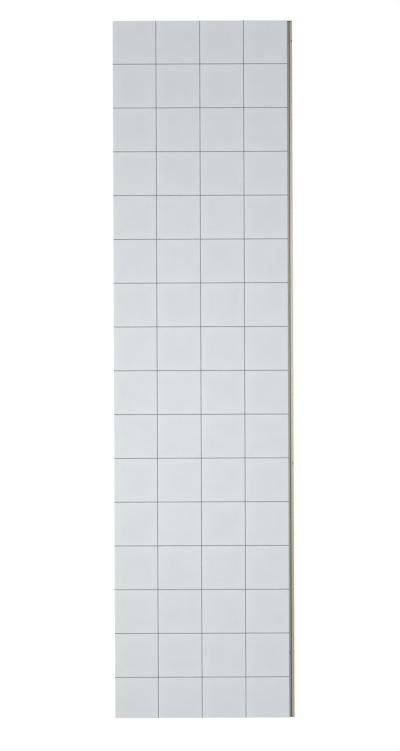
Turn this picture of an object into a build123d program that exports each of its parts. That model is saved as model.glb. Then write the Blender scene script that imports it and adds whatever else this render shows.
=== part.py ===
"""Bathroom wall panel: a tile-effect laminate bonded to a plywood core with a lap joint on its long edges.

The panel lies flat, tile side up. X runs across it towards the lip, Y runs along it towards its top
end and Z is its thickness. The origin is the middle of the back, on the floor. Millimetres and degrees.
"""

import os

from build123d import *

# Board sizes
FACE_WIDTH = 600.0
PANEL_LENGTH = 2400.0
PANEL_THICKNESS = 11.0
LAMINATE_THICKNESS = 0.8
LAMINATE_ARRIS = 0.3

# Grout grooves pressed into the laminate, which leave a thin web of it under each one
TILE_COLUMNS = 4
GROOVE_WIDTH = 3.0
GROOVE_WEB = 0.3
GROOVE_WALL_ANGLE = 45.0

# Lip along the right edge, with the channel that the next panel's bead drops into
LIP_WIDTH = 18.0
LIP_THICKNESS = 5.0
LIP_CHAMFER = 1.0
CHANNEL_FROM_FACE = 8.0
CHANNEL_WIDTH = 3.0
CHANNEL_DEPTH = 2.0
CHANNEL_WALL_ANGLE = 80.0

# Room in the joint: sealant film over the lip and round the bead, and a gap beyond the lip's tip
SEALANT_FILM = 0.2
TIP_GAP = 0.5
LAP_EASE = 0.4

# Places worked out from the sizes
core_thickness = PANEL_THICKNESS - LAMINATE_THICKNESS
overall_width = FACE_WIDTH + LIP_WIDTH
left_edge = -overall_width / 2
face_edge = left_edge + FACE_WIDTH
lip_tip = overall_width / 2
top_end = PANEL_LENGTH / 2

# The tiles fill the face width with a groove between each two, and the rows keep the same pitch from
# the top end, so the row at the bottom end is whatever length is left
tile_pitch = (FACE_WIDTH + GROOVE_WIDTH) / TILE_COLUMNS
groove_depth = LAMINATE_THICKNESS - GROOVE_WEB
tile_rows_cut = int(PANEL_LENGTH // tile_pitch)
column_grooves = [left_edge + k * tile_pitch - GROOVE_WIDTH / 2 for k in range(1, TILE_COLUMNS)]
row_grooves = [top_end - k * tile_pitch + GROOVE_WIDTH / 2 for k in range(1, tile_rows_cut + 1)]

# The rebate clears the next panel's lip, and the bead clears its channel
rebate_width = LIP_WIDTH + TIP_GAP
rebate_height = LIP_THICKNESS + SEALANT_FILM
bead_width = CHANNEL_WIDTH - 2 * SEALANT_FILM
channel_centre = face_edge + CHANNEL_FROM_FACE
bead_centre = left_edge + CHANNEL_FROM_FACE


def tapered_section(width, depth, wall_angle, mode=Mode.ADD):
    """Section of a groove or a bead: its full width lies on the location and it narrows downwards."""
    return Trapezoid(
        width, depth, wall_angle, rotation=180, align=(Align.CENTER, Align.MIN), mode=mode
    )


# Plywood core: one section along the whole length, with the lip on the right and the lap on the left
with BuildPart() as plywood_core:
    with BuildSketch(Plane.XZ) as core_section:
        Rectangle(overall_width, core_thickness, align=(Align.CENTER, Align.MIN))
        with Locations((lip_tip, core_thickness)):
            Rectangle(
                LIP_WIDTH,
                core_thickness - LIP_THICKNESS,
                align=(Align.MAX, Align.MAX),
                mode=Mode.SUBTRACT,
            )
        with Locations((left_edge, 0)):
            Rectangle(rebate_width, rebate_height, align=(Align.MIN, Align.MIN), mode=Mode.SUBTRACT)
        # In the sketch's own axes Y is the thickness, so the lowest corner at the far left is the lap's
        chamfer(core_section.vertices().group_by(Axis.X)[-1], length=LIP_CHAMFER)
        lap_corner = core_section.vertices().group_by(Axis.X)[0].sort_by(Axis.Y)[0]
        chamfer(lap_corner, length=LAP_EASE)
        with Locations((channel_centre, LIP_THICKNESS)):
            tapered_section(CHANNEL_WIDTH, CHANNEL_DEPTH, CHANNEL_WALL_ANGLE, mode=Mode.SUBTRACT)
        with Locations((bead_centre, rebate_height)):
            tapered_section(bead_width, CHANNEL_DEPTH, CHANNEL_WALL_ANGLE)
    extrude(amount=PANEL_LENGTH / 2, both=True)
plywood_core.part.label = "plywood_core"

# Decor laminate: a sheet over the face width with eased long edges and the tile grooves pressed into it
with BuildPart() as decor_laminate:
    with BuildSketch(Plane.XY.offset(core_thickness)):
        with Locations((left_edge, 0)):
            Rectangle(FACE_WIDTH, PANEL_LENGTH, align=(Align.MIN, Align.CENTER))
    extrude(amount=LAMINATE_THICKNESS)
    long_arrises = decor_laminate.edges().filter_by(Axis.Y).group_by(Axis.Z)[-1]
    chamfer(long_arrises, length=LAMINATE_ARRIS)
    with BuildSketch(Plane.XZ):
        with Locations(*[(x, PANEL_THICKNESS) for x in column_grooves]):
            tapered_section(GROOVE_WIDTH, groove_depth, GROOVE_WALL_ANGLE)
    extrude(amount=PANEL_LENGTH / 2, both=True, mode=Mode.SUBTRACT)
    with BuildSketch(Plane.YZ):
        with Locations(*[(y, PANEL_THICKNESS) for y in row_grooves]):
            tapered_section(GROOVE_WIDTH, groove_depth, GROOVE_WALL_ANGLE)
    extrude(amount=overall_width / 2, both=True, mode=Mode.SUBTRACT)
decor_laminate.part.label = "decor_laminate"

os.makedirs("parts", exist_ok=True)
for piece in (plywood_core, decor_laminate):
    export_step(piece.part, f"parts/{piece.part.label}.step")
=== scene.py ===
"""Bathroom wall panel lying on a pale floor, tile side up, seen from straight above. Metres."""

import math

import bmesh
import bpy
from mathutils import Matrix, Vector, noise


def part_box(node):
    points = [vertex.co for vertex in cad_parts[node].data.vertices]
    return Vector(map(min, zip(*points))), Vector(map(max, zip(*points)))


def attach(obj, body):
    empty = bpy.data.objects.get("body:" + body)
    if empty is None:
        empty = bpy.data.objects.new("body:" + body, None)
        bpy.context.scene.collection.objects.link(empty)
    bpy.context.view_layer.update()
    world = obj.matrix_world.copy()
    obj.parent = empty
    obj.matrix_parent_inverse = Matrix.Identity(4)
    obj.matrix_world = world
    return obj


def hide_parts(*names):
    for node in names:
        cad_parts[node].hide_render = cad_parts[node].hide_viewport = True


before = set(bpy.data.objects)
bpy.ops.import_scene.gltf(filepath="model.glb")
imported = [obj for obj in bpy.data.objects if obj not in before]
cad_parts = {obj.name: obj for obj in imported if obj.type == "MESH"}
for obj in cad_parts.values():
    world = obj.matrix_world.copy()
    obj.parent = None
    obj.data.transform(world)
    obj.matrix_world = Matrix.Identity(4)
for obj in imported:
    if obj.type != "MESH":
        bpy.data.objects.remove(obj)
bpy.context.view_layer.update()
bpy.context.scene.view_settings.view_transform = "Standard"

# Plywood core: birch veneers laid crosswise and pressed with dark glue, seven to the board.
# It is sawn to length, then a cutter mills the lip and its channel along the right edge and the
# rebate and its bead along the left one. The wood is bare wherever the laminate doesn't cover it.

core_low, core_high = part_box("plywood_core")
sheet_low, sheet_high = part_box("decor_laminate")
core_length = core_high.y - core_low.y
PLIES = 7
ply = (core_high.z - core_low.z) / PLIES
LIP_PLIES = 3
MILLED_EASE = 0.00025
MILLED_SHARP = math.radians(30)
BOARD_SPANS = 24
SAME_PLACE = 1e-6
SLIVER = 1e-5


def end_outline(node, end):
    """The section of a straight CAD node, as points (x, z) in order round it, read at its end."""
    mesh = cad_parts[node].data
    following = {}
    for face in mesh.polygons:
        if abs(face.normal.y) > 0.5:
            continue
        corners = [mesh.vertices[index].co for index in face.vertices]
        for here, there in zip(corners, corners[1:] + corners[:1]):
            if abs(here.y - end) < SAME_PLACE and abs(there.y - end) < SAME_PLACE:
                following[round(here.x, 6), round(here.z, 6)] = round(there.x, 6), round(there.z, 6)
    outline = [next(iter(following))]
    while following[outline[-1]] != outline[0]:
        outline.append(following[outline[-1]])
    return outline


# The lip keeps about three plies, so its top is the height of the section's corner nearest to that
core_outline = end_outline("plywood_core", core_high.y)
step_foot = (sheet_high.x, core_low.z + ply * LIP_PLIES)
lip_top = min(core_outline, key=lambda point: math.dist(point, step_foot))[1]

# Flaws in the milled lip: a chip out of its outer edge, a pin knot, and a splinter torn from the step
# towards the channel in three slivers. Each has its distance from the top end and from the lip's tip,
# its length, width, depth and turn.
LIP_FLAWS = {
    "edge_chip": (0.0694, 0.0020, 0.0054, 0.0042, 0.0022, 0.15),
    "chip_tail": (0.0726, 0.0024, 0.0046, 0.0018, 0.0008, -0.10),
    "pin_knot": (1.5255, 0.0031, 0.0120, 0.0026, 0.0005, 0.05),
    "splinter": (2.1788, 0.0149, 0.0112, 0.0017, 0.0012, 0.68),
    "splinter_root": (2.1758, 0.0171, 0.0034, 0.0024, 0.0009, 1.05),
    "splinter_branch": (2.1800, 0.0147, 0.0060, 0.0009, 0.0006, 0.50),
}
RAGGED = 0.16
RAGGED_SCALE = 5.0
RAGGED_SHIFT = 100


def flaw_place(from_top, from_tip):
    """Middle of a flaw, level with the top of the lip."""
    return Vector((core_high.x - from_tip, core_high.y - from_top, lip_top))


board = bmesh.new()
board.faces.new([board.verts.new((x, core_low.y, z)) for x, z in core_outline])
grown = bmesh.ops.extrude_face_region(board, geom=board.faces[:])["geom"]
far_end = [item for item in grown if isinstance(item, bmesh.types.BMVert)]
bmesh.ops.translate(board, verts=far_end, vec=(0, core_length, 0))
bmesh.ops.recalc_face_normals(board, faces=board.faces[:])
milled_edges = [
    edge
    for edge in board.edges
    if abs(edge.verts[0].co.y - edge.verts[1].co.y) > core_length / 2
    and edge.verts[0].co.z < core_high.z - SAME_PLACE
]
bmesh.ops.bevel(
    board,
    geom=milled_edges,
    offset=MILLED_EASE,
    segments=2,
    profile=0.5,
    affect="EDGES",
    clamp_overlap=True,
)
for station in range(1, BOARD_SPANS):
    bmesh.ops.bisect_plane(
        board,
        geom=board.verts[:] + board.edges[:] + board.faces[:],
        plane_co=(0, core_low.y + core_length * station / BOARD_SPANS, 0),
        plane_no=(0, 1, 0),
    )
core_mesh = bpy.data.meshes.new("plywood_core_board")
board.to_mesh(core_mesh)
board.free()
plywood_core_board = bpy.data.objects.new("plywood_core_board", core_mesh)
bpy.context.scene.collection.objects.link(plywood_core_board)

hollows = bmesh.new()
for from_top, from_tip, length, width, depth, turn in LIP_FLAWS.values():
    lump = bmesh.ops.create_icosphere(hollows, subdivisions=3, radius=0.5)["verts"]
    for vertex in lump:
        spot = vertex.co * RAGGED_SCALE + Vector((from_top * RAGGED_SHIFT, 0, 0))
        vertex.co *= 1.0 + RAGGED * noise.noise(spot)
    shape = (
        Matrix.Translation(flaw_place(from_top, from_tip))
        @ Matrix.Rotation(turn, 4, "Z")
        @ Matrix.Diagonal((width, length, depth * 2, 1))
    )
    bmesh.ops.transform(hollows, matrix=shape, verts=lump)
hollow_mesh = bpy.data.meshes.new("lip_hollows")
hollows.to_mesh(hollow_mesh)
hollows.free()
hollow_cutter = bpy.data.objects.new("lip_hollows", hollow_mesh)
bpy.context.scene.collection.objects.link(hollow_cutter)


def as_plain_mesh(piece):
    """Turns what a piece's modifiers make into its own mesh and takes the modifiers off."""
    evaluated = piece.evaluated_get(bpy.context.evaluated_depsgraph_get())
    piece.data = bpy.data.meshes.new_from_object(evaluated)
    piece.modifiers.clear()


cut = plywood_core_board.modifiers.new("flaws", "BOOLEAN")
cut.operation = "DIFFERENCE"
cut.solver = "EXACT"
cut.use_self = True
cut.object = hollow_cutter
as_plain_mesh(plywood_core_board)
bpy.data.objects.remove(hollow_cutter)


def put_in_order(items, place):
    """Numbers a mesh's points, edges or faces by their place, so that a clean-up goes the same each run."""
    for number, item in enumerate(sorted(items, key=lambda item: tuple(place(item)))):
        item.index = number
    items.sort()


cleaned = bmesh.new()
cleaned.from_mesh(plywood_core_board.data)
put_in_order(cleaned.verts, lambda vertex: vertex.co)
put_in_order(cleaned.edges, lambda edge: edge.verts[0].co + edge.verts[1].co)
put_in_order(cleaned.faces, lambda face: face.calc_center_median())
bmesh.ops.remove_doubles(cleaned, verts=cleaned.verts[:], dist=SLIVER)
bmesh.ops.dissolve_degenerate(cleaned, edges=cleaned.edges[:], dist=SLIVER)
bmesh.ops.triangulate(cleaned, faces=[face for face in cleaned.faces if len(face.verts) > 4])
cleaned.to_mesh(plywood_core_board.data)
cleaned.free()
plywood_core_board.data.shade_smooth()
plywood_core_board.data.set_sharp_from_angle(angle=MILLED_SHARP)

# The texture map gives each face of the section a band in proportion to the root of its width, so that
# the narrow milled faces keep their plies sharp, and lays the two sawn ends in a strip above the bands.
BANDS_TOP = 0.93
END_STRIP = 0.03
END_STRIP_PITCH = 0.035
END_STRIP_GAP = 0.002


def spread_over_bands(mesh):
    """Adds the board's texture map to its mesh."""
    closed = core_outline + core_outline[:1]
    sides = [(Vector(a), Vector(b)) for a, b in zip(closed, closed[1:])]
    shares = [math.sqrt((b - a).length) for a, b in sides]
    starts = [sum(shares[:index]) / sum(shares) for index in range(len(shares))]
    layer = mesh.uv_layers.new(name="OFBake")

    def along(point, side):
        start, end = side
        return min(max((point - start).dot(end - start) / (end - start).length_squared, 0), 1)

    def gap(point, side):
        return (side[0].lerp(side[1], along(point, side)) - point).length

    for face in mesh.polygons:
        middle = Vector((face.center.x, face.center.z))
        nearest = min(range(len(sides)), key=lambda index: gap(middle, sides[index]))
        for corner in face.loop_indices:
            place = mesh.vertices[mesh.loops[corner].vertex_index].co
            if core_high.y - abs(face.center.y) < SAME_PLACE:
                strip = BANDS_TOP + (END_STRIP_PITCH if face.normal.y > 0 else 0) + END_STRIP_GAP
                u = (place.x - core_low.x) / (core_high.x - core_low.x)
                v = strip + END_STRIP * (place.z - core_low.z) / (core_high.z - core_low.z)
            else:
                share = shares[nearest] / sum(shares)
                u = starts[nearest] + share * along(Vector((place.x, place.z)), sides[nearest])
                v = BANDS_TOP * (place.y - core_low.y) / core_length
            layer.data[corner].uv = u, v


spread_over_bands(plywood_core_board.data)


class Value:
    """A socket's number in a node tree. Sums on it add Math nodes, so that a finish reads as a formula."""

    def __init__(self, socket):
        self.socket = socket

    def math(self, operation, *terms):
        node = self.socket.id_data.nodes.new("ShaderNodeMath")
        node.operation = operation
        for slot, term in zip(node.inputs, terms):
            feed(slot, term)
        return Value(node.outputs[0])

    def __add__(self, other):
        return self.math("ADD", self, other)

    def __radd__(self, other):
        return self.math("ADD", other, self)

    def __sub__(self, other):
        return self.math("SUBTRACT", self, other)

    def __rsub__(self, other):
        return self.math("SUBTRACT", other, self)

    def __mul__(self, other):
        return self.math("MULTIPLY", self, other)

    def __rmul__(self, other):
        return self.math("MULTIPLY", other, self)

    def __truediv__(self, other):
        return self.math("DIVIDE", self, other)

    def __rtruediv__(self, other):
        return self.math("DIVIDE", other, self)

    def __mod__(self, other):
        return self.math("FLOORED_MODULO", self, other)

    def __rmod__(self, other):
        return self.math("FLOORED_MODULO", other, self)

    def __gt__(self, other):
        return self.math("GREATER_THAN", self, other)

    def __abs__(self):
        return self.math("ABSOLUTE", self)

    def floor(self):
        return self.math("FLOOR", self)

    def ceiling(self):
        return self.math("CEIL", self)

    def rounded(self):
        return self.math("ROUND", self)

    def least(self, other):
        return self.math("MINIMUM", self, other)

    def most(self, other):
        return self.math("MAXIMUM", self, other)


def feed(slot, item):
    """Links a value or an output into a socket, or sets a plain number, colour or vector on it."""
    if isinstance(item, Value):
        item = item.socket
    if isinstance(item, bpy.types.NodeSocket):
        slot.id_data.links.new(item, slot)
    else:
        slot.default_value = item


class Tree:
    """A node tree that is being built. Any node comes from add: its type, settings and sockets."""

    def __init__(self, tree):
        self.tree = tree

    def add(self, kind, settings=None, sockets=None):
        node = self.tree.nodes.new(kind)
        for name, setting in (settings or {}).items():
            setattr(node, name, setting)
        for name, item in (sockets or {}).items():
            feed(node.inputs[name], item)
        return node

    def parts(self, vector):
        """The x, y and z of a vector."""
        split = self.add("ShaderNodeSeparateXYZ", sockets={"Vector": vector})
        return [Value(split.outputs[axis]) for axis in "XYZ"]

    def ramp(self, value, start, end, low=0.0, high=1.0):
        """Goes smoothly from low to high as the value goes from start to end."""
        node = self.add(
            "ShaderNodeMapRange",
            {"interpolation_type": "SMOOTHSTEP"},
            {"Value": value, "From Min": start, "From Max": end, "To Min": low, "To Max": high},
        )
        return Value(node.outputs["Result"])


class Finish(Tree):
    """A material that is being built, with the places and directions on the piece that it is made for."""

    def __init__(self, name):
        self.material = bpy.data.materials.new(name)
        self.material.use_nodes = True
        super().__init__(self.material.node_tree)
        self.shader = self.tree.nodes["Principled BSDF"]
        coordinates = self.add("ShaderNodeTexCoord")
        self.place = coordinates.outputs["Object"]
        self.x, self.y, self.z = self.parts(self.place)
        self.facing_x, self.facing_y, self.facing_z = self.parts(coordinates.outputs["Normal"])

    def speckle(self, scale, detail=2.0, roughness=0.5, distortion=0.0):
        """Cloudy noise from 0 to 1, with its own scale along each axis, in spots to the metre."""
        stretched = self.add("ShaderNodeMapping", sockets={"Vector": self.place, "Scale": scale})
        cloudy = self.add(
            "ShaderNodeTexNoise",
            {"noise_dimensions": "3D"},
            {
                "Vector": stretched.outputs[0],
                "Scale": 1.0,
                "Detail": detail,
                "Roughness": roughness,
                "Distortion": distortion,
            },
        )
        return Value(cloudy.outputs["Fac"])

    def mixed(self, share, colour, other):
        """A share of the other colour in the first."""
        node = self.add("ShaderNodeMix", {"data_type": "RGBA"}, {0: share, 6: colour, 7: other})
        return node.outputs[2]

    def bumped(self, height, distance, strength):
        """Tilts the surface as a relief of this height would."""
        node = self.add(
            "ShaderNodeBump", sockets={"Height": height, "Distance": distance, "Strength": strength}
        )
        feed(self.shader.inputs["Normal"], node.outputs["Normal"])


def paint(red, green, blue):
    """A colour as it is picked on screen, from 0 to 255, for a shader's socket."""

    def light(level):
        level /= 255
        return level / 12.92 if level <= 0.04045 else ((level + 0.055) / 1.055) ** 2.4

    return light(red), light(green), light(blue), 1.0


AGED_VENEER = paint(164, 155, 134)
CHANNEL_SHADE = paint(92, 80, 58)
CHANNEL_SIDE_SHADE = paint(100, 86, 64)
PALE_MIDDLE = 0.25
PALE_REACH = 0.15
AGED_REACH = 1.1
SIDE_SHADE_REACH = 0.0036
SIDE_SHADE_DRIFT = 0.0007
SIDE_SHADE_CROSSING = 0.3
CHANNEL_HALF_WIDTH = 0.0015
CHANNEL_FLOOR_FROM = 0.0015
CHANNEL_FLOOR_TO = 0.0030
channel_floor = [
    (x, z)
    for x, z in core_outline
    if x > sheet_high.x and CHANNEL_FLOOR_FROM < lip_top - z < CHANNEL_FLOOR_TO
]
channel_middle = sum(x for x, z in channel_floor) / len(channel_floor)
channel_depth = lip_top - channel_floor[0][1]


def with_cutter_marks(wood, colour, on_lip, below):
    """Ages the lip towards its ends, and paints shade inside the channel that the cutter ran along it and
    on the wood beside it.
    """
    from_middle = wood.ramp(abs(wood.y - PALE_MIDDLE), PALE_REACH, AGED_REACH, 0.0, 0.85)
    outer_band = wood.ramp(wood.x - channel_middle, -0.001, 0.001, 0.2, 1.0)
    colour = wood.mixed(on_lip * outer_band * from_middle, colour, AGED_VENEER)

    # Painted shade darkens the wood beside the channel, on its right near the top end and on its left near
    # the bottom
    from_side_shade = abs(wood.x - channel_middle - (wood.y - SIDE_SHADE_CROSSING) * SIDE_SHADE_DRIFT)
    side_shade = wood.ramp(from_side_shade, CHANNEL_HALF_WIDTH, SIDE_SHADE_REACH, 0.85, 0.0) * (0.25 + from_middle * 0.6)
    near_top = wood.ramp(below, 0.0004, 0.0012, 1.0, 0.0)
    colour = wood.mixed(side_shade * near_top, colour, CHANNEL_SIDE_SHADE)

    # Painted shade on the walls and floor of the channel
    from_channel = abs(wood.x - channel_middle) / CHANNEL_HALF_WIDTH
    in_channel = wood.ramp(from_channel, 1.0, 1.1, 1.0, 0.0) * wood.ramp(below, 0.0001, 0.0005)
    channel_shade = wood.ramp(below, channel_depth * 1.05, channel_depth * 1.3, 0.8, 0.0)
    return wood.mixed(in_channel * channel_shade, colour, CHANNEL_SHADE)


LIP_END_DARK = paint(58, 54, 45)
LIP_END_RAGGEDNESS = (900, 500, 900)
LIP_END_LENGTH = 0.0036
LIP_END_FADE = 0.0035
STEP_SLACK = 0.0002


def with_scorched_ends(wood, colour, along_board):
    """Darkens both ends of the lip, the top one most."""
    ragged = wood.speckle(LIP_END_RAGGEDNESS, detail=3.0) * LIP_END_LENGTH
    to_top = core_high.y - wood.y + ragged
    to_bottom = wood.y - core_low.y + ragged
    top_dark = wood.ramp(to_top, LIP_END_LENGTH * 0.8, LIP_END_LENGTH * 1.8, 0.97, 0.0)
    bottom_dark = wood.ramp(to_bottom, LIP_END_LENGTH * 0.5, LIP_END_LENGTH * 1.4, 0.6, 0.0)
    beyond_step = wood.ramp(wood.x - sheet_high.x, STEP_SLACK, LIP_END_FADE)
    end_dark = beyond_step * top_dark.most(bottom_dark) * (1.0 - along_board * 0.45)
    return wood.mixed(end_dark, colour, LIP_END_DARK)


HOLLOW_SHADE_AND_KNOT = paint(74, 64, 50)
PIT_RISE = 0.0003


def with_dark_flaws(wood, colour, below):
    """Darkens each flaw inside its own outline, from the top of the lip downwards: painted shade in the
    hollows of the chip and the splinter, and the pin knot's own dark colour.
    """
    for from_top, from_tip, length, width, depth, turn in LIP_FLAWS.values():
        middle = flaw_place(from_top, from_tip)
        across, along = wood.x - middle.x, wood.y - middle.y
        wide = (across * math.cos(turn) + along * math.sin(turn)) / (width / 2)
        long = (along * math.cos(turn) - across * math.sin(turn)) / (length / 2)
        inside = wood.ramp(wide * wide + long * long, 0.5, 1.4, 1.0, 0.0)
        darkness = wood.ramp(below, depth * 1.5, depth * 3, 0.92, 0.0) * (below > -PIT_RISE)
        colour = wood.mixed(inside * darkness, colour, HOLLOW_SHADE_AND_KNOT)
    return colour


PALE_VENEER = paint(212, 206, 188)
VENEER_STREAK = paint(190, 180, 156)
END_GRAIN = paint(172, 155, 124)
GLUE_LINE = paint(92, 72, 52)
GRAIN_ALONG = (420, 9, 900)
GRAIN_ACROSS = (9, 420, 900)
FIGURE = (16, 1.3, 60)
PORES = (2600, 2600, 2600)
SAW_MARKS = (1100, 1, 30)
CUTTER_STEP = 0.0018


def birch_plywood():
    """Bare birch plywood, with its plies, grain, painted shade in and beside its channel, dark lip ends,
    and flaws with painted shade in their hollows.
    """
    wood = Finish("birch_plywood")
    ply_height = (wood.z - core_low.z) / ply
    ply_number = ply_height.floor()
    crosswise = ply_number % 2.0
    glue = wood.ramp(abs(ply_height - ply_number - 0.5), 0.43, 0.49)

    # A ply shows end grain where the cut goes across its fibres
    upright = wood.ramp(abs(wood.facing_z), 0.75, 0.55)
    across_board = wood.facing_x * wood.facing_x
    along_board = wood.facing_y * wood.facing_y
    end_grain = upright * (across_board * crosswise + along_board * (1.0 - crosswise))

    streaks_along = wood.speckle(GRAIN_ALONG, detail=4.0, roughness=0.62, distortion=0.5)
    streaks_across = wood.speckle(GRAIN_ACROSS, detail=4.0, roughness=0.62, distortion=0.5)
    streaks = streaks_along + (streaks_across - streaks_along) * crosswise
    pores = wood.speckle(PORES, detail=1.0)
    figure = wood.speckle(FIGURE, detail=2.0)

    streaked = wood.ramp(streaks, 0.42, 0.68) * (0.75 - crosswise * 0.45)
    colour = wood.mixed(streaked, PALE_VENEER, VENEER_STREAK)
    colour = wood.mixed(wood.ramp(figure, 0.5, 0.75, 0.0, 0.35), colour, AGED_VENEER)
    grain_end = wood.mixed(wood.ramp(pores, 0.35, 0.7, 0.0, 0.5), END_GRAIN, VENEER_STREAK)
    colour = wood.mixed(end_grain * 0.9, colour, grain_end)
    colour = wood.mixed(glue * upright * 0.85, colour, GLUE_LINE)

    on_lip = wood.x - sheet_high.x > -STEP_SLACK
    below = lip_top - wood.z
    colour = with_cutter_marks(wood, colour, on_lip, below)
    colour = with_scorched_ends(wood, colour, along_board)
    colour = with_dark_flaws(wood, colour, below)
    feed(wood.shader.inputs["Base Color"], colour)
    feed(wood.shader.inputs["Roughness"], wood.ramp(streaks, 0.3, 0.7, 0.62, 0.82))
    wood.shader.inputs["Specular IOR Level"].default_value = 0.25

    # Sawn ends are scored up and down, and the lip carries the ripple of the turning cutter
    saw_marks = wood.speckle(SAW_MARKS, detail=2.0) * along_board
    ripple = abs(wood.y % CUTTER_STEP - CUTTER_STEP / 2) / CUTTER_STEP * on_lip
    relief = streaks + pores * end_grain * 1.5 - glue * upright + saw_marks * 1.2 + ripple * 0.5
    wood.bumped(relief, distance=0.00025, strength=0.6)
    return wood.material


plywood_core_board.data.materials.append(birch_plywood())
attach(plywood_core_board, "root")
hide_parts("plywood_core")

# Decor laminate: resin-soaked paper with a satin tile print, pressed hot onto the core in one piece.
# The press plate leaves the grout grooves with soft walls and rounds the rim of each tile a little.
# The long edges are trimmed flush with the core and eased, so a brown paper edge shows beside the wood.

TILE_COLUMNS = 4
GROOVE_WIDTH = 0.0030
GROOVE_DEPTH = 0.0005
WALL_WIDTH = 0.0007
RIM_WIDTH = 0.0030
RIM_DROP = 0.00006
EDGE_DROP = 0.00025
MERGE_GAP = 0.00001
TILE_SHARP = math.radians(40)
STEPS = 16
COUNT_NUDGE = 0.01


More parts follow.
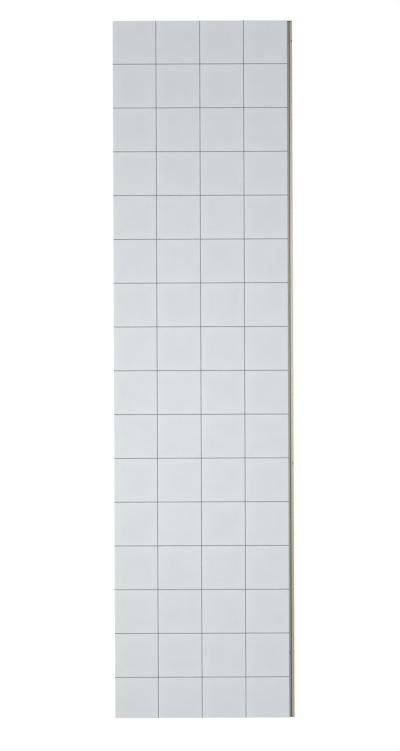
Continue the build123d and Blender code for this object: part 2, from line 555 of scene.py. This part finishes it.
def pressed_sheet_tree():
    """Nodes for a sheet with square tiles, which fill its width and are laid in rows from its top end."""
    tree = bpy.data.node_groups.new("pressed_tile_sheet", "GeometryNodeTree")
    kinds = {
        "Left Edge": "NodeSocketFloat",
        "Right Edge": "NodeSocketFloat",
        "Top End": "NodeSocketFloat",
        "Bottom End": "NodeSocketFloat",
        "Back Height": "NodeSocketFloat",
        "Face Height": "NodeSocketFloat",
        "Tile Columns": "NodeSocketInt",
        "Groove Width": "NodeSocketFloat",
        "Groove Depth": "NodeSocketFloat",
        "Wall Width": "NodeSocketFloat",
        "Rim Width": "NodeSocketFloat",
        "Rim Drop": "NodeSocketFloat",
        "Edge Drop": "NodeSocketFloat",
        "Material": "NodeSocketMaterial",
    }
    for name, kind in kinds.items():
        tree.interface.new_socket(name, in_out="INPUT", socket_type=kind)
    tree.interface.new_socket("Geometry", in_out="OUTPUT", socket_type="NodeSocketGeometry")
    sheet = Tree(tree)
    given = sheet.add("NodeGroupInput")
    names = [name for name in kinds if name != "Material"]
    values = [Value(given.outputs[name]) for name in names]
    left, right, top, bottom, back, face, columns, groove, depth, wall, rim, rim_drop, edge_drop = values

    half = groove * 0.5
    bed = half - wall
    pitch = (right - left + groove) / columns
    rows = ((top - bottom + groove) / pitch).ceiling()

    # From the middle of a groove: its bed, up its wall, over the tile's rim and on to the tile's middle
    distances = [0.0, bed, half - wall * 0.67, half - wall * 0.33, half, half + rim * 0.33, half + rim]
    distances += [pitch * 0.25, pitch * 0.5]

    def grid_line(count):
        """Place of a grid line, as a distance from the groove before the first tile."""
        tile = ((count + COUNT_NUDGE) / STEPS).floor()
        step = count - tile * STEPS
        near = step.least(STEPS - step)
        pick = sheet.add("GeometryNodeIndexSwitch", {"data_type": "FLOAT"}, {"Index": near + COUNT_NUDGE})
        for number, distance in enumerate(distances):
            if number > 1:
                pick.index_switch_items.new()
            feed(pick.inputs[str(number)], distance)
        reach = Value(pick.outputs[0])
        beyond = step > STEPS / 2
        return tile * pitch + reach + beyond * (pitch - reach * 2.0)

    def moved(geometry, x, y, z, selection=True):
        """The geometry with the chosen points put at x, y and z."""
        place = sheet.add("ShaderNodeCombineXYZ", sockets={"X": x, "Y": y, "Z": z})
        node = sheet.add(
            "GeometryNodeSetPosition",
            sockets={"Geometry": geometry, "Selection": selection, "Position": place.outputs[0]},
        )
        return node.outputs[0]

    def merged(geometry):
        """The geometry with the points that fall together made one."""
        node = sheet.add(
            "GeometryNodeMergeByDistance", sockets={"Geometry": geometry, "Distance": MERGE_GAP}
        )
        return node.outputs[0]

    lines_across = columns * STEPS
    lines_along = rows * STEPS
    grid = sheet.add(
        "GeometryNodeMeshGrid",
        sockets={
            "Size X": lines_across,
            "Size Y": lines_along,
            "Vertices X": lines_across + 1.0,
            "Vertices Y": lines_along + 1.0,
        },
    )
    x, y, _ = sheet.parts(sheet.add("GeometryNodeInputPosition").outputs[0])
    count_across = (x + lines_across * 0.5).rounded()
    count_along = (lines_along * 0.5 - y).rounded()
    column_x = (left - half + grid_line(count_across)).most(left).least(right)
    row_y = (top + half - grid_line(count_along)).most(bottom).least(top)
    flat = merged(moved(grid.outputs["Mesh"], column_x, row_y, back))

    # Depth below the face, from the nearest groove either way and from the long edges
    from_column = (x - left + half) % pitch
    from_row = (top + half - y) % pitch
    nearest = from_column.least(pitch - from_column).least(from_row.least(pitch - from_row))
    drop = sheet.ramp(nearest, bed, half, depth - rim_drop, 0.0)
    drop = drop + sheet.ramp(nearest, half, half + rim, rim_drop, 0.0)
    drop = drop.most(sheet.ramp((x - left).least(right - x), 0.0, rim * 0.33, edge_drop, 0.0))

    thickened = sheet.add(
        "GeometryNodeExtrudeMesh",
        {"mode": "FACES"},
        {"Mesh": flat, "Offset Scale": face - back, "Individual": False},
    )
    tiled = moved(thickened.outputs["Mesh"], x, y, face - drop, thickened.outputs["Top"])
    underside = sheet.add("GeometryNodeFlipFaces", sockets={"Mesh": flat})
    whole = sheet.add("GeometryNodeJoinGeometry")
    feed(whole.inputs[0], tiled)
    feed(whole.inputs[0], underside.outputs[0])
    closed = merged(whole.outputs[0])
    # The rim value marks where the laminate's material paints a highlight along the rim of each tile
    for name, amount in {
        "grout": sheet.ramp(nearest, half - wall * 0.33, half, 1.0, 0.0),
        "rim": sheet.ramp(nearest, half, half + rim * 1.5, 1.0, 0.0),
    }.items():
        stored = sheet.add(
            "GeometryNodeStoreNamedAttribute",
            {"data_type": "FLOAT", "domain": "POINT"},
            {"Geometry": closed, "Name": name, "Value": amount},
        )
        closed = stored.outputs[0]
    smooth = sheet.add("GeometryNodeSetShadeSmooth", sockets={"Geometry": closed, "Shade Smooth": True})
    real = sheet.add("GeometryNodeRealizeInstances", sockets={"Geometry": smooth.outputs[0]})
    finished = sheet.add(
        "GeometryNodeSetMaterial",
        sockets={"Geometry": real.outputs[0], "Material": given.outputs["Material"]},
    )
    output = sheet.add("NodeGroupOutput")
    feed(output.inputs["Geometry"], finished.outputs[0])
    return tree


TILE_WHITE = paint(212, 215, 217)
TILE_CLOUD = paint(210, 213, 215)
TILE_RIM_HIGHLIGHT = paint(226, 228, 230)
GROUT_GREY = paint(124, 127, 130)
GROUT_DARK = paint(112, 115, 118)
KRAFT_BROWN = paint(134, 106, 78)
DECOR_LAYER = 0.0004
CLOUDS = (14, 14, 14)
SAND = (1500, 1500, 1500)
PEEL = (320, 320, 320)


def tile_laminate():
    """Satin tile print, with a painted highlight along the rim of each tile, sandy grout in the grooves and
    brown paper on the trimmed edges.
    """
    skin = Finish("tile_laminate")
    grout = Value(skin.add("ShaderNodeAttribute", {"attribute_name": "grout"}).outputs["Fac"])
    rim = Value(skin.add("ShaderNodeAttribute", {"attribute_name": "rim"}).outputs["Fac"])
    cloud = skin.speckle(CLOUDS, detail=3.0)
    sand = skin.speckle(SAND, detail=2.0)
    peel = skin.speckle(PEEL, detail=1.0)
    face_up = skin.ramp(skin.facing_z, 0.3, 0.6)
    paper = sheet_high.z - skin.z > DECOR_LAYER

    colour = skin.mixed(skin.ramp(cloud, 0.35, 0.7), TILE_WHITE, TILE_CLOUD)
    # Painted highlight along the rim of each tile
    colour = skin.mixed(rim * 0.7, colour, TILE_RIM_HIGHLIGHT)
    grout_colour = skin.mixed(skin.ramp(sand, 0.35, 0.65), GROUT_GREY, GROUT_DARK)
    colour = skin.mixed(grout, colour, grout_colour)
    colour = skin.mixed((1.0 - face_up) * paper, colour, KRAFT_BROWN)
    feed(skin.shader.inputs["Base Color"], colour)
    feed(skin.shader.inputs["Roughness"], 0.42 + grout * 0.35 + cloud * 0.06)
    skin.shader.inputs["Specular IOR Level"].default_value = 0.4
    skin.bumped(peel * 0.4 + sand * grout * 2.0, distance=0.00004, strength=0.5)
    return skin.material


sheet_settings = {
    "Left Edge": sheet_low.x,
    "Right Edge": sheet_high.x,
    "Top End": sheet_high.y,
    "Bottom End": sheet_low.y,
    "Back Height": sheet_low.z,
    "Face Height": sheet_high.z,
    "Tile Columns": TILE_COLUMNS,
    "Groove Width": GROOVE_WIDTH,
    "Groove Depth": GROOVE_DEPTH,
    "Wall Width": WALL_WIDTH,
    "Rim Width": RIM_WIDTH,
    "Rim Drop": RIM_DROP,
    "Edge Drop": EDGE_DROP,
    "Material": tile_laminate(),
}
decor_tile_sheet = bpy.data.objects.new("decor_tile_sheet", bpy.data.meshes.new("decor_tile_sheet"))
bpy.context.scene.collection.objects.link(decor_tile_sheet)
press = decor_tile_sheet.modifiers.new("press", "NODES")
press.node_group = pressed_sheet_tree()
for item in press.node_group.interface.items_tree:
    if item.in_out == "INPUT":
        press[item.identifier] = sheet_settings[item.name]
as_plain_mesh(decor_tile_sheet)
decor_tile_sheet.data.set_sharp_from_angle(angle=TILE_SHARP)

# The texture map lays the upper and the lower half of the face side by side, split along a groove,
# over strips for the two ends, the two long edges and the hidden underside.
FACE_FROM = 0.055
FACE_HEIGHT = 0.94
HALF_MARGIN = 0.005
HALF_WIDTH = 0.49
ENDS_FROM = 0.045
ENDS_HEIGHT = 0.006
EDGES_FROM = 0.016
EDGES_PITCH = 0.014
EDGES_HEIGHT = 0.012
UNDERSIDE_HEIGHT = 0.012
tile_pitch = (sheet_high.x - sheet_low.x + GROOVE_WIDTH) / TILE_COLUMNS
half_rows = round((sheet_high.y - sheet_low.y) / tile_pitch / 2)
split_y = sheet_high.y + GROOVE_WIDTH / 2 - half_rows * tile_pitch


def spread_over_halves(mesh):
    """Adds the sheet's texture map to its mesh."""
    layer = mesh.uv_layers.new(name="OFBake")
    half_length = max(sheet_high.y - split_y, split_y - sheet_low.y)
    for face in mesh.polygons:
        upper = face.center.y > split_y
        for corner in face.loop_indices:
            place = mesh.vertices[mesh.loops[corner].vertex_index].co
            across = (place.x - sheet_low.x) / (sheet_high.x - sheet_low.x)
            along = (place.y - sheet_low.y) / (sheet_high.y - sheet_low.y)
            rise = (place.z - sheet_low.z) / (sheet_high.z - sheet_low.z)
            if face.normal.z > 0.3:
                start = split_y if upper else sheet_low.y
                u = HALF_MARGIN + (0 if upper else 0.5) + HALF_WIDTH * across
                v = FACE_FROM + FACE_HEIGHT * (place.y - start) / half_length
            elif face.normal.z < -0.3:
                u = along
                v = UNDERSIDE_HEIGHT * across
            elif abs(face.normal.x) > 0.5:
                u = along
                v = EDGES_FROM + (EDGES_PITCH if face.normal.x > 0 else 0) + EDGES_HEIGHT * rise
            else:
                u = 0.5 * across + (0.5 if upper else 0)
                v = ENDS_FROM + ENDS_HEIGHT * rise
            layer.data[corner].uv = u, v


spread_over_halves(decor_tile_sheet.data)
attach(decor_tile_sheet, "root")
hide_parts("decor_laminate")

# Floor and light: a plain white studio floor, a broad overhead lamp a little left of the panel, and
# softer light from the left that leaves the lip in the shade of the step.

FLOOR_HALF = 15.0
FLOOR_WHITE = (0.95, 0.95, 0.95, 1.0)
PLAIN_WHITE = (1.0, 1.0, 1.0, 1.0)
SEEN_WHITE = 0.92
SEEN_GLOW = 1.03
floor_mesh = bpy.data.meshes.new("studio_floor")
floor_corners = [
    (side * FLOOR_HALF, end * FLOOR_HALF, core_low.z) for side, end in ((-1, -1), (1, -1), (1, 1), (-1, 1))
]
floor_mesh.from_pydata(floor_corners, [], [(0, 1, 2, 3)])
studio_floor = bpy.data.objects.new("studio_floor", floor_mesh)
bpy.context.scene.collection.objects.link(studio_floor)


def seen_ray(tree):
    """One where a surface is seen, straight or in a gloss or glass, and nothing for light that it sheds."""
    path = tree.add("ShaderNodeLightPath")
    seen = Value(path.outputs["Is Camera Ray"]).most(Value(path.outputs["Is Glossy Ray"]))
    return seen.most(Value(path.outputs["Is Transmission Ray"]))


floor_finish = bpy.data.materials.new("studio_floor")
floor_finish.use_nodes = True
floor_finish.node_tree.nodes.clear()
floor_tree = Tree(floor_finish.node_tree)
dull = floor_tree.add("ShaderNodeBsdfDiffuse", sockets={"Color": FLOOR_WHITE})
glow = floor_tree.add("ShaderNodeEmission", sockets={"Color": PLAIN_WHITE, "Strength": SEEN_GLOW})
floor_mix = floor_tree.add(
    "ShaderNodeMixShader",
    sockets={0: seen_ray(floor_tree) * SEEN_WHITE, 1: dull.outputs[0], 2: glow.outputs[0]},
)
floor_tree.add("ShaderNodeOutputMaterial", sockets={"Surface": floor_mix.outputs[0]})
floor_mesh.materials.append(floor_finish)

SKY_LIGHT = 0.34
studio_world = bpy.data.worlds.new("studio_world")
studio_world.use_nodes = True
studio_world.node_tree.nodes.clear()
world_tree = Tree(studio_world.node_tree)
sky = world_tree.add(
    "ShaderNodeBackground",
    sockets={"Color": PLAIN_WHITE, "Strength": SKY_LIGHT + seen_ray(world_tree) * (1.0 - SKY_LIGHT)},
)
world_tree.add("ShaderNodeOutputWorld", sockets={"Surface": sky.outputs[0]})
bpy.context.scene.world = studio_world


def lamp(name, kind, place, target, energy):
    """A lamp at a place, turned towards a target. Gives its light, for its size."""
    light = bpy.data.lights.new(name, kind)
    light.energy = energy
    holder = bpy.data.objects.new(name, light)
    holder.location = place
    holder.rotation_euler = (Vector(target) - Vector(place)).to_track_quat("-Z", "Y").to_euler()
    bpy.context.scene.collection.objects.link(holder)
    return light


side_light = lamp("side_light", "SUN", place=(-3.0, -0.3, 2.4), target=(0.0, 0.0, 0.0), energy=1.75)
side_light.angle = math.radians(35)
overhead = lamp("overhead", "AREA", place=(-0.27, -0.25, 2.3), target=(-0.27, -0.25, 0.0), energy=18.4)
overhead.shape = "RECTANGLE"
overhead.size = 1.0
overhead.size_y = 1.4

# Camera: straight above the panel, turned a little clockwise, so that the panel stands almost upright
# in the tall picture and fills most of its height.

CAMERA_X = -0.0124
CAMERA_Y = -0.0217
CAMERA_HEIGHT = 5.3
CAMERA_TURN = -0.0038
PIXELS_A_METRE = 290.55
PICTURE_HEIGHT = 751
SENSOR_HEIGHT = 36.0
camera = bpy.data.cameras.new("camera")
camera.sensor_fit = "VERTICAL"
camera.sensor_height = SENSOR_HEIGHT
camera.lens = PIXELS_A_METRE * CAMERA_HEIGHT * SENSOR_HEIGHT / PICTURE_HEIGHT
camera_holder = bpy.data.objects.new("camera", camera)
camera_holder.location = (CAMERA_X, CAMERA_Y, sheet_high.z + CAMERA_HEIGHT)
camera_holder.rotation_euler = (0.0, 0.0, CAMERA_TURN)
bpy.context.scene.collection.objects.link(camera_holder)
bpy.context.scene.camera = camera_holder
